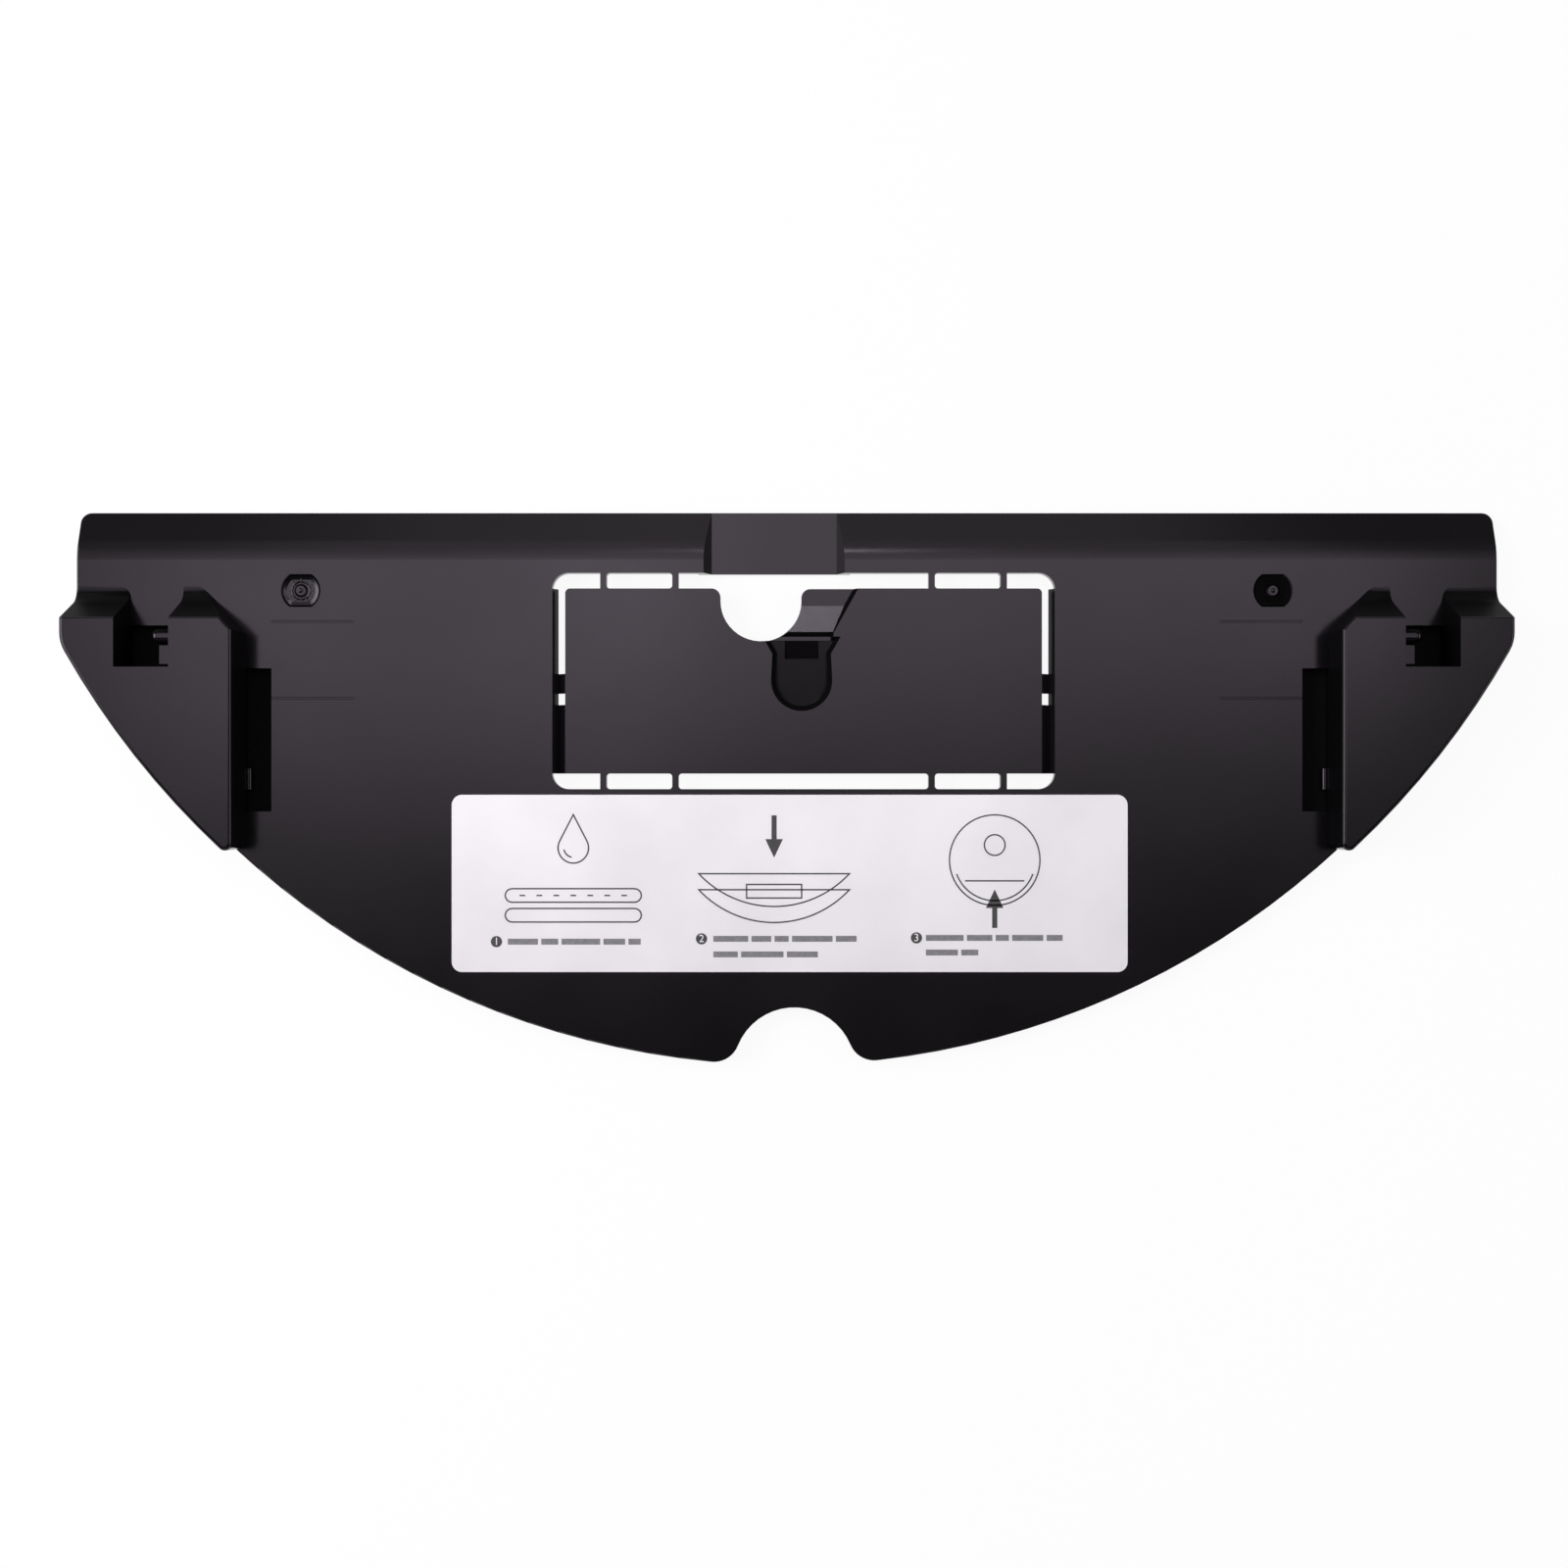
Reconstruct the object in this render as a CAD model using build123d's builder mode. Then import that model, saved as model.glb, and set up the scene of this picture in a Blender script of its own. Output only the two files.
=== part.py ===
"""Mop bracket of a robot vacuum: a moulded crescent plate with two wing guides at its ends.

The origin lies under the middle of the bracket, on the rim that it rests on. X runs along the
straight edge, Y points to the straight edge and Z points up, out of the face that meets the robot.
"""
import os
from math import cos, radians, sin, sqrt, tan

from build123d import *

os.makedirs("parts", exist_ok=True)

# Plate: flat on top, with a rim round the recess in its underside
PLATE_WIDTH = 301.6
PLATE_HEIGHT = 4.4
PLATE_WALL = 2.4
PLATE_DEPTH = 117.76
SIDE_EDGE_LENGTH = 28.6
SIDE_CORNER_RADIUS = 8.0
STRAIGHT_EDGE_Y = 58.52
CORNER_RADIUS = 2.2
RIM_WIDTH = 2.2
RIM_ROUND = 0.4

# Finger notch in the rear arc
FINGER_NOTCH_X = 1.6
FINGER_NOTCH_RADIUS = 12.9
FINGER_NOTCH_DEPTH = 12.3
FINGER_NOTCH_FLARE = 5.5

# Lip that falls to the straight edge, and the flat tongue in its middle
LIP_RUN = 8.2
LIP_DROP = 3.3
LIP_BLEND = 11.0
TONGUE_WIDTH = 26.7
TONGUE_X = -2.7
TONGUE_WALL_RUN = 1.65
TONGUE_RIB = 1.2

# Window and the panel held in it by thin bridges
WINDOW_WIDTH = 106.7
WINDOW_LENGTH = 45.9
WINDOW_X = 3.55
WINDOW_SETBACK = 13.16
WINDOW_RADIUS = 3.5
PANEL_SIDE_GAP = 2.75
PANEL_END_GAP = 3.3
PANEL_RADIUS = 1.0
BRIDGE_WIDTH = 1.35
BRIDGE_INNER_X = 27.2
BRIDGE_OUTER_X = 42.5
BRIDGE_FILLET = 0.7

# Slanted sills in the gaps at the panel's sides, and the webs that close parts of them
SILL_SINK = 0.4
SILL_RUN = 1.1
SILL_ROOT = 1.1
WEB_THICKNESS = 0.6
WEB_LENGTH = 14.6
WEB_RIB_LENGTH = 4.2
WEB_RIB_GAP = 2.4

# Peg notch in the panel's front, the ramp beside it and the pocket behind it
PEG_NOTCH_X = -5.5
PEG_NOTCH_RADIUS = 8.6
PEG_NOTCH_DEPTH = 11.2
PEG_NOTCH_SHOULDER = 1.9
RAMP_LENGTH = 9.2
RAMP_FRONT_WIDTH = 11.0
RAMP_REAR_WIDTH = 5.9
RAMP_FLAT_LENGTH = 3.6
RAMP_SINK = 1.5
RAMP_CREST_SINK = 0.4
RAMP_DRAFT = 32.0
RAMP_STEP_RUN = 1.0
RAMP_LEDGE_LENGTH = 0.9
RAMP_LEDGE_SINK = 1.0
POCKET_WIDTH = 10.2
POCKET_X = 3.14
POCKET_REAR_SETBACK = 24.2
POCKET_SINK = 1.1
POCKET_FLOOR_ANGLE = 3.2
POCKET_DRAFT = 42.0
POCKET_FLARE = 1.5
POCKET_FLARE_LENGTH = 2.4
POCKET_SUMP_WIDTH = 7.2
POCKET_SUMP_LENGTH = 3.8
POCKET_SUMP_SINK = 0.1
POCKET_SUMP_ANGLE = 10.5

# Wing guides, flush with the plate's side edges and rear arc
WING_HEIGHT = 11.0
WING_SETBACK = 16.0
WING_WALL = 2.0
WING_RAMP_ANGLE = 66.0
WING_COVE_RADIUS = 4.0
WING_EDGE_ROUND = 0.8
WING_FRONT_ROUND = 0.4
WING_REAR_ROUND = 1.5
GUIDE_BLOCK_WIDTH = 11.4
GUIDE_BLOCK_ROUND = 2.2
WING_NOTCH_WIDTH = 11.4
WING_NOTCH_LENGTH = 17.7
TOWER_WIDTH = 13.0
TOWER_NOSE_WIDTH = 3.9
TOWER_BEVEL_LENGTH = 9.9
CATCH_HOLE_LENGTH = 9.4
CATCH_REACH = 4.8
CATCH_THICKNESS = 2.9
CATCH_SETBACK = 1.3
CATCH_BASE = 3.0
CATCH_HEIGHT = 4.5
CATCH_NOSE_ROUND = 1.1
CATCH_STOP_REACH = 3.6
CATCH_STOP_THICKNESS = 3.9
CATCH_STOP_GAP = 0.4
SIDE_SLOT_WIDTH = 5.6
SIDE_SLOT_LENGTH = 30.4
SIDE_SLOT_SETBACK = 17.4
SLOT_NUB_REACH = 1.3
SLOT_NUB_LENGTH = 4.4
SLOT_NUB_HEIGHT = 2.0
SLOT_NUB_ROUND = 0.8
SLOT_NUB_SETBACK = 21.3

# Mould marks on the plate
MARK_WIDTH = 8.4
MARK_LENGTH = 7.0
MARK_INSET = 11.8
MARK_SETBACK = 16.9
MARK_SINK = 0.6
MARK_DRAFT = 40.0
MARK_NUB_RADIUS = 1.0
INSERT_WIDTH = 17.5
INSERT_LENGTH = 16.3
INSERT_SETBACK = 7.5
INSERT_LINE_WIDTH = 0.5
INSERT_LINE_DEPTH = 0.35

# Stuck-on pieces
LABEL_WIDTH = 143.4
LABEL_LENGTH = 37.6
LABEL_X = 0.6
LABEL_GAP = 1.2
LABEL_RADIUS = 2.2
LABEL_THICKNESS = 0.2
PAD_THICKNESS = 1.2
PAD_MARGIN = 2.5
PAD_CLEARANCE = 0.5
PAD_RADIUS = 2.5

# Closeness at which two places count as the same, and the widest lean that counts as along an axis
SAME_PLACE = 0.01
ALONG_ANGLE = 8.0

# Places worked out from the sizes above
SIDE_X = PLATE_WIDTH / 2
SIDE_END_Y = STRAIGHT_EDGE_Y - SIDE_EDGE_LENGTH
REAR_Y = STRAIGHT_EDGE_Y - PLATE_DEPTH
ARC_RISE = SIDE_END_Y - REAR_Y
ARC_RADIUS = (ARC_RISE**2 + SIDE_X**2) / (2 * ARC_RISE)
ARC_CENTRE_Y = REAR_Y + ARC_RADIUS
RECESS_DEPTH = PLATE_HEIGHT - PLATE_WALL
LIP_Y = STRAIGHT_EDGE_Y - LIP_RUN
LIP_EDGE_Z = PLATE_HEIGHT - LIP_DROP
LIP_SLOPE = LIP_DROP / LIP_RUN

WINDOW_FRONT_Y = STRAIGHT_EDGE_Y - WINDOW_SETBACK
WINDOW_REAR_Y = WINDOW_FRONT_Y - WINDOW_LENGTH
WINDOW_Y = (WINDOW_FRONT_Y + WINDOW_REAR_Y) / 2
PANEL_WIDTH = WINDOW_WIDTH - 2 * PANEL_SIDE_GAP
PANEL_LENGTH = WINDOW_LENGTH - 2 * PANEL_END_GAP
PANEL_FRONT_Y = WINDOW_FRONT_Y - PANEL_END_GAP
PANEL_REAR_Y = WINDOW_REAR_Y + PANEL_END_GAP
END_GAP_Y = PANEL_FRONT_Y + PANEL_END_GAP / 2

WING_FRONT_Y = STRAIGHT_EDGE_Y - WING_SETBACK
WING_TOP = PLATE_HEIGHT + WING_HEIGHT
NOTCH_OUTER_X = SIDE_X - GUIDE_BLOCK_WIDTH
NOTCH_INNER_X = NOTCH_OUTER_X - WING_NOTCH_WIDTH
NOTCH_REAR_Y = WING_FRONT_Y - WING_NOTCH_LENGTH
TOWER_INNER_X = NOTCH_INNER_X - TOWER_WIDTH
SLOT_INNER_X = TOWER_INNER_X - SIDE_SLOT_WIDTH
SLOT_FRONT_Y = WING_FRONT_Y - SIDE_SLOT_SETBACK
PAD_INNER_X = SLOT_INNER_X - PAD_MARGIN


def arc_y(x, inset=0.0):
    """Y of the rear arc at x, moved towards its centre by inset."""
    return ARC_CENTRE_Y - sqrt((ARC_RADIUS - inset) ** 2 - x**2)


def span(x_start, x_end, y_start, y_end, mode=Mode.ADD):
    """Rectangle of the open sketch between two X and two Y places."""
    with Locations(((x_start + x_end) / 2, (y_start + y_end) / 2)):
        Rectangle(abs(x_end - x_start), abs(y_end - y_start), mode=mode)


def at_place(vertex, x, y):
    """Whether a sketch's vertex lies at x and y."""
    return abs(vertex.X - x) < SAME_PLACE and abs(vertex.Y - y) < SAME_PLACE


def plate_outline(inset=0.0):
    """Straight edge, short sides, rear arc and finger notch of the plate, drawn in by inset."""
    side_x = SIDE_X - inset
    side_end_y = arc_y(side_x, inset)
    front_y = STRAIGHT_EDGE_Y - inset
    with BuildSketch(mode=Mode.PRIVATE) as sketch:
        with BuildLine():
            Polyline((-side_x, side_end_y), (-side_x, front_y), (side_x, front_y), (side_x, side_end_y))
            ThreePointArc((side_x, side_end_y), (0, REAR_Y + inset), (-side_x, side_end_y))
        make_face()
        side_ends = [v for v in sketch.vertices() if abs(v.Y - side_end_y) < SAME_PLACE]
        fillet(side_ends, SIDE_CORNER_RADIUS - inset)
        with Locations((FINGER_NOTCH_X, REAR_Y + FINGER_NOTCH_DEPTH - FINGER_NOTCH_RADIUS)):
            Circle(FINGER_NOTCH_RADIUS + inset, mode=Mode.SUBTRACT)
        fillet(sketch.vertices().sort_by(Axis.Y)[:2], FINGER_NOTCH_FLARE - inset)
    return sketch.sketch


def wing_outline(rounded):
    """Right wing's footprint: block, notch, bevelled tower and the arc behind."""
    rear_y = arc_y(TOWER_INNER_X)
    mid_x = (SIDE_X + TOWER_INNER_X) / 2
    with BuildSketch(mode=Mode.PRIVATE) as sketch:
        with BuildLine():
            Polyline(
                (SIDE_X, SIDE_END_Y),
                (SIDE_X, WING_FRONT_Y),
                (NOTCH_OUTER_X, WING_FRONT_Y),
                (NOTCH_OUTER_X, NOTCH_REAR_Y),
                (NOTCH_INNER_X, NOTCH_REAR_Y),
                (NOTCH_INNER_X, WING_FRONT_Y),
                (NOTCH_INNER_X - TOWER_NOSE_WIDTH, WING_FRONT_Y),
                (TOWER_INNER_X, WING_FRONT_Y - TOWER_BEVEL_LENGTH),
                (TOWER_INNER_X, rear_y),
            )
            ThreePointArc((TOWER_INNER_X, rear_y), (mid_x, arc_y(mid_x)), (SIDE_X, SIDE_END_Y))
        make_face()
        if rounded:
            side_end = [v for v in sketch.vertices() if at_place(v, SIDE_X, SIDE_END_Y)]
            fillet(side_end, SIDE_CORNER_RADIUS)
            rear_corner = [v for v in sketch.vertices() if at_place(v, TOWER_INNER_X, rear_y)]
            fillet(rear_corner, WING_REAR_ROUND)
            block_corner = [v for v in sketch.vertices() if at_place(v, NOTCH_OUTER_X, WING_FRONT_Y)]
            fillet(block_corner, GUIDE_BLOCK_ROUND)
    return sketch.sketch


def wing_front_space(setback):
    """Space in front of a wing's cove and slope, as a YZ profile moved back by setback."""
    lean = radians(WING_RAMP_ANGLE)
    start_y = WING_FRONT_Y - setback
    cove_y = start_y - WING_COVE_RADIUS * sin(lean)
    cove_z = PLATE_HEIGHT + WING_COVE_RADIUS * (1 - cos(lean))
    above_z = WING_TOP + WING_HEIGHT
    above_y = cove_y - (above_z - cove_z) / tan(lean)
    with BuildSketch(mode=Mode.PRIVATE) as sketch:
        with BuildLine():
            RadiusArc((start_y, PLATE_HEIGHT), (cove_y, cove_z), WING_COVE_RADIUS)
            Polyline(
                (cove_y, cove_z),
                (above_y, above_z),
                (STRAIGHT_EDGE_Y, above_z),
                (STRAIGHT_EDGE_Y, PLATE_HEIGHT),
                (start_y, PLATE_HEIGHT),
            )
        make_face()
    return sketch.sketch


def pad_outline():
    """Right hook pad's outline under the wing, clear of the rim."""
    inset = RIM_WIDTH + PAD_CLEARANCE
    outer_x = SIDE_X - inset
    front_y = WING_FRONT_Y - inset
    mid_x = (outer_x + PAD_INNER_X) / 2
    with BuildSketch(mode=Mode.PRIVATE) as sketch:
        with BuildLine():
            Polyline(
                (outer_x, arc_y(outer_x, inset)),
                (outer_x, front_y),
                (PAD_INNER_X, front_y),
                (PAD_INNER_X, arc_y(PAD_INNER_X, inset)),
            )
            ThreePointArc(
                (PAD_INNER_X, arc_y(PAD_INNER_X, inset)),
                (mid_x, arc_y(mid_x, inset)),
                (outer_x, arc_y(outer_x, inset)),
            )
        make_face()
        fillet(sketch.vertices(), PAD_RADIUS)
    return sketch.sketch


# Wing guides: the outer form, with the front and inner top edges rounded
with BuildPart() as wings:
    with BuildSketch(Plane.XY.offset(RECESS_DEPTH)):
        add(wing_outline(rounded=True))
        mirror(about=Plane.YZ)
    extrude(amount=WING_TOP - RECESS_DEPTH)
    with BuildSketch(Plane.YZ):
        add(wing_front_space(0.0))
    extrude(amount=PLATE_WIDTH, both=True, mode=Mode.SUBTRACT)
    nose_inner_x = NOTCH_INNER_X - TOWER_NOSE_WIDTH
    along = cos(radians(ALONG_ANGLE))
    inner_edges = [
        edge
        for edge in wings.edges().filter_by(GeomType.LINE).group_by(Axis.Z)[-1]
        if abs(edge.center().X) < nose_inner_x and abs(edge.tangent_at(0.5).X) < along
    ]
    fillet(inner_edges, WING_EDGE_ROUND)
    front_edges = [
        edge
        for edge in wings.edges().filter_by(GeomType.LINE).group_by(Axis.Z)[-1]
        if abs(edge.tangent_at(0.5).X) > along and edge.center().Y > SIDE_END_Y
    ]
    fillet(front_edges, WING_FRONT_ROUND)

# Hollow inside each wing, open below
with BuildPart() as wing_hollows:
    with BuildSketch(Plane.XY.offset(RECESS_DEPTH)):
        offset(wing_outline(rounded=False), amount=-WING_WALL, kind=Kind.INTERSECTION)
        mirror(about=Plane.YZ)
    extrude(amount=WING_TOP - WING_WALL - RECESS_DEPTH)
    with BuildSketch(Plane.YZ):
        add(wing_front_space(WING_WALL))
    extrude(amount=PLATE_WIDTH, both=True, mode=Mode.SUBTRACT)

# Catch on the tower's side of each wing notch: a rounded nose and the stop behind it
with BuildPart() as catches:
    nose_radius = CATCH_THICKNESS / 2
    nose_y = NOTCH_REAR_Y + CATCH_HOLE_LENGTH - CATCH_SETBACK - nose_radius
    nose_tip_x = NOTCH_INNER_X + CATCH_REACH - nose_radius
    root_x = NOTCH_INNER_X - WING_WALL / 2
    with BuildSketch(Plane.XY.offset(PLATE_HEIGHT + CATCH_BASE)):
        span(root_x, nose_tip_x, nose_y - nose_radius, nose_y + nose_radius)
        with Locations((nose_tip_x, nose_y)):
            Circle(nose_radius)
        mirror(about=Plane.YZ)
    extrude(amount=CATCH_HEIGHT)
    fillet(catches.edges().group_by(Axis.Z)[-1], CATCH_NOSE_ROUND)
    stop_y = nose_y - nose_radius - CATCH_STOP_GAP
    with BuildSketch(Plane.XY.offset(PLATE_HEIGHT)):
        span(root_x, NOTCH_INNER_X + CATCH_STOP_REACH, stop_y - CATCH_STOP_THICKNESS, stop_y)
        mirror(about=Plane.YZ)
    extrude(amount=CATCH_BASE + CATCH_HEIGHT / 2)

# Nub on each tower's inner wall, low in the slot beside it
with BuildPart() as slot_nubs:
    nub_y = SLOT_FRONT_Y - SLOT_NUB_SETBACK
    with BuildSketch(Plane.XY.offset(RECESS_DEPTH)):
        span(TOWER_INNER_X - SLOT_NUB_REACH, TOWER_INNER_X + WING_WALL / 2, nub_y - SLOT_NUB_LENGTH, nub_y)
        mirror(about=Plane.YZ)
    extrude(amount=SLOT_NUB_HEIGHT)
    nub_edges = slot_nubs.edges().filter_by(Axis.Y).group_by(Axis.Z)[-1].filter_by(
        lambda edge: abs(edge.center().X) < TOWER_INNER_X
    )
    fillet(nub_edges, SLOT_NUB_ROUND)

# Ramp beside the peg notch: a flat, a slope up to its crest, a slanted step and a ledge
with BuildPart() as peg_ramp:
    notch_side_x = PEG_NOTCH_X + PEG_NOTCH_RADIUS
    crest_y = PANEL_FRONT_Y - RAMP_LENGTH
    step_y = crest_y - RAMP_STEP_RUN
    ledge_y = step_y - RAMP_LEDGE_LENGTH
    flat_z = PLATE_HEIGHT - RAMP_SINK
    with BuildSketch(Plane.XY.offset(flat_z)):
        with BuildLine():
            Polyline(
                (PEG_NOTCH_X, ledge_y),
                (notch_side_x + RAMP_REAR_WIDTH, ledge_y),
                (notch_side_x + RAMP_REAR_WIDTH, crest_y),
                (notch_side_x + RAMP_FRONT_WIDTH, PANEL_FRONT_Y),
                (notch_side_x + RAMP_FRONT_WIDTH, END_GAP_Y),
                (PEG_NOTCH_X, END_GAP_Y),
                close=True,
            )
        make_face()
    extrude(amount=RAMP_SINK, taper=-RAMP_DRAFT)
    with BuildSketch(Plane.YZ):
        with BuildLine():
            Polyline(
                (WINDOW_FRONT_Y, flat_z),
                (PANEL_FRONT_Y - RAMP_FLAT_LENGTH, flat_z),
                (crest_y, PLATE_HEIGHT - RAMP_CREST_SINK),
                (step_y, PLATE_HEIGHT - RAMP_LEDGE_SINK),
                (ledge_y, PLATE_HEIGHT - RAMP_LEDGE_SINK),
                (ledge_y, PLATE_HEIGHT),
                (WINDOW_FRONT_Y, PLATE_HEIGHT),
                close=True,
            )
        make_face()
    extrude(amount=PLATE_WIDTH, both=True, mode=Mode.INTERSECT)

# Sills and webs in the gaps at the panel's sides: slanted walls, and V-shaped floors
with BuildPart() as sills:
    sill_top = PLATE_HEIGHT - SILL_SINK
    web_top = RECESS_DEPTH + WEB_THICKNESS
    web_end_y = PANEL_REAR_Y + WEB_LENGTH
    rib_y = web_end_y + WEB_RIB_GAP
    for side in (-1, 1):
        window_x = WINDOW_X + side * WINDOW_WIDTH / 2
        panel_x = WINDOW_X + side * PANEL_WIDTH / 2
        root_x = window_x + side * SILL_ROOT
        panel_root_x = panel_x - side * SILL_ROOT
        valley_x = (window_x + panel_x) / 2
        with BuildSketch(Plane.XZ.offset(-PANEL_REAR_Y)):
            with BuildLine():
                Polyline(
                    (root_x, RECESS_DEPTH),
                    (root_x, sill_top),
                    (window_x, sill_top),
                    (window_x - side * SILL_RUN, RECESS_DEPTH),
                    close=True,
                )
            make_face()
        extrude(amount=-PANEL_LENGTH)
        for y_start, length in ((PANEL_REAR_Y, WEB_LENGTH), (rib_y, WEB_RIB_LENGTH)):
            with BuildSketch(Plane.XZ.offset(-y_start)):
                with BuildLine():
                    Polyline(
                        (root_x, RECESS_DEPTH),
                        (root_x, sill_top),
                        (window_x, sill_top),
                        (valley_x, web_top),
                        (panel_x, sill_top),
                        (panel_root_x, sill_top),
                        (panel_root_x, RECESS_DEPTH),
                        close=True,
                    )
                make_face()
            extrude(amount=-length)

# Fine lines of a mould insert beside each slot
with BuildPart() as insert_lines:
    insert_y = WING_FRONT_Y - INSERT_SETBACK
    half_line = INSERT_LINE_WIDTH / 2
    with BuildSketch(Plane.YZ.offset(SLOT_INNER_X - INSERT_WIDTH)):
        for line_y in (insert_y, insert_y - INSERT_LENGTH):
            with BuildLine():
                Polyline(
                    (line_y - half_line, PLATE_HEIGHT),
                    (line_y + half_line, PLATE_HEIGHT),
                    (line_y, PLATE_HEIGHT - INSERT_LINE_DEPTH),
                    close=True,
                )
            make_face()
    extrude(amount=INSERT_WIDTH)
    mirror(about=Plane.YZ)

# Recess in the underside: it follows the lip, and leaves a rim and the tongue's floor standing
with BuildPart() as recess:
    half_floor = TONGUE_WIDTH / 2
    half_top = half_floor + TONGUE_WALL_RUN
    with BuildSketch():
        add(plate_outline(RIM_WIDTH))
        half_rib = half_top + TONGUE_RIB
        span(TONGUE_X - half_rib, TONGUE_X + half_rib, END_GAP_Y, STRAIGHT_EDGE_Y, Mode.SUBTRACT)
    extrude(amount=RECESS_DEPTH)
    with BuildSketch(Plane.YZ):
        with BuildLine():
            Polyline(
                (REAR_Y, 0),
                (LIP_Y + RECESS_DEPTH / LIP_SLOPE, 0),
                (LIP_Y, RECESS_DEPTH),
                (REAR_Y, RECESS_DEPTH),
                close=True,
            )
        make_face()
    extrude(amount=PLATE_WIDTH, both=True, mode=Mode.INTERSECT)

# Bracket: one moulding
with BuildPart() as bracket:
    with BuildSketch() as plate:
        add(plate_outline())
        fillet(plate.vertices().group_by(Axis.Y)[-1], CORNER_RADIUS)
    extrude(amount=PLATE_HEIGHT)

    # Lip blended into the plate, and the rounded top edge all round
    with BuildSketch(Plane.YZ):
        with BuildLine():
            Polyline(
                (LIP_Y, PLATE_HEIGHT),
                (STRAIGHT_EDGE_Y, LIP_EDGE_Z),
                (STRAIGHT_EDGE_Y, PLATE_HEIGHT),
                close=True,
            )
        make_face()
    extrude(amount=PLATE_WIDTH, both=True, mode=Mode.SUBTRACT)
    crest = bracket.edges().filter_by(Axis.X).group_by(Axis.Z)[-1]
    fillet(crest, LIP_BLEND)
    blend_lines = [
        edge
        for edge in bracket.edges().filter_by(Axis.X)
        if LIP_Y / 2 < edge.center().Y < STRAIGHT_EDGE_Y - SAME_PLACE
    ]
    rim = [
        edge
        for edge in bracket.edges()
        if edge.bounding_box().min.Z > LIP_EDGE_Z / 2 and edge not in blend_lines
    ]
    fillet(rim, RIM_ROUND)

    add(recess.part, mode=Mode.SUBTRACT)
    add(wings.part)
    add(wing_hollows.part, mode=Mode.SUBTRACT)

    # Openings in the plate: catch holes and the slots beside the wings
    with BuildSketch():
        span(NOTCH_INNER_X, NOTCH_OUTER_X, NOTCH_REAR_Y, NOTCH_REAR_Y + CATCH_HOLE_LENGTH)
        span(SLOT_INNER_X, TOWER_INNER_X, SLOT_FRONT_Y - SIDE_SLOT_LENGTH, SLOT_FRONT_Y)
        mirror(about=Plane.YZ)
    extrude(amount=PLATE_HEIGHT, mode=Mode.SUBTRACT)
    add(catches.part)
    add(slot_nubs.part)

    # Tongue: a flat land across the lip, with slanted sides
    with BuildSketch(Plane.XZ.offset(-END_GAP_Y)):
        with BuildLine():
            Polyline(
                (TONGUE_X - half_floor, LIP_EDGE_Z),
                (TONGUE_X + half_floor, LIP_EDGE_Z),
                (TONGUE_X + half_top, PLATE_HEIGHT),
                (TONGUE_X - half_top, PLATE_HEIGHT),
                close=True,
            )
        make_face()
    extrude(amount=-PLATE_DEPTH, mode=Mode.SUBTRACT)

    # Window round the panel, with the bridges left standing and the peg notch let into the panel
    with BuildSketch() as window:
        with Locations((WINDOW_X, WINDOW_Y)):
            RectangleRounded(WINDOW_WIDTH, WINDOW_LENGTH, WINDOW_RADIUS)
            Rectangle(PANEL_WIDTH, PANEL_LENGTH, mode=Mode.SUBTRACT)
        for bridge_x in (-BRIDGE_OUTER_X, -BRIDGE_INNER_X, BRIDGE_INNER_X, BRIDGE_OUTER_X):
            x_start = WINDOW_X + bridge_x - BRIDGE_WIDTH / 2
            for y_start in (WINDOW_REAR_Y, PANEL_FRONT_Y):
                span(x_start, x_start + BRIDGE_WIDTH, y_start, y_start + PANEL_END_GAP, Mode.SUBTRACT)
        notch_base_y = PANEL_FRONT_Y - PEG_NOTCH_DEPTH
        notch_y = notch_base_y + PEG_NOTCH_RADIUS
        notch_left_x = PEG_NOTCH_X - PEG_NOTCH_RADIUS
        with BuildLine():
            Polyline(
                (notch_left_x, notch_y),
                (notch_left_x, END_GAP_Y),
                (notch_side_x, END_GAP_Y),
                (notch_side_x, notch_y),
            )
            ThreePointArc((notch_side_x, notch_y), (PEG_NOTCH_X, notch_base_y), (notch_left_x, notch_y))
        make_face()
        corners = window.vertices()
        shoulders = [
            v
            for side in (-1, 1)
            for v in corners
            if at_place(v, PEG_NOTCH_X + side * PEG_NOTCH_RADIUS, PANEL_FRONT_Y)
        ]
        panel_corners = [v for v in corners if abs(abs(v.X - WINDOW_X) - PANEL_WIDTH / 2) < SAME_PLACE]
        bridge_corners = [
            v
            for bridge_x in (BRIDGE_INNER_X, BRIDGE_OUTER_X)
            for v in corners
            if abs(abs(abs(v.X - WINDOW_X) - bridge_x) - BRIDGE_WIDTH / 2) < SAME_PLACE
        ]
        fillet(shoulders, PEG_NOTCH_SHOULDER)
        fillet(panel_corners, PANEL_RADIUS)
        fillet(bridge_corners, BRIDGE_FILLET)
    extrude(amount=PLATE_HEIGHT, mode=Mode.SUBTRACT)

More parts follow.
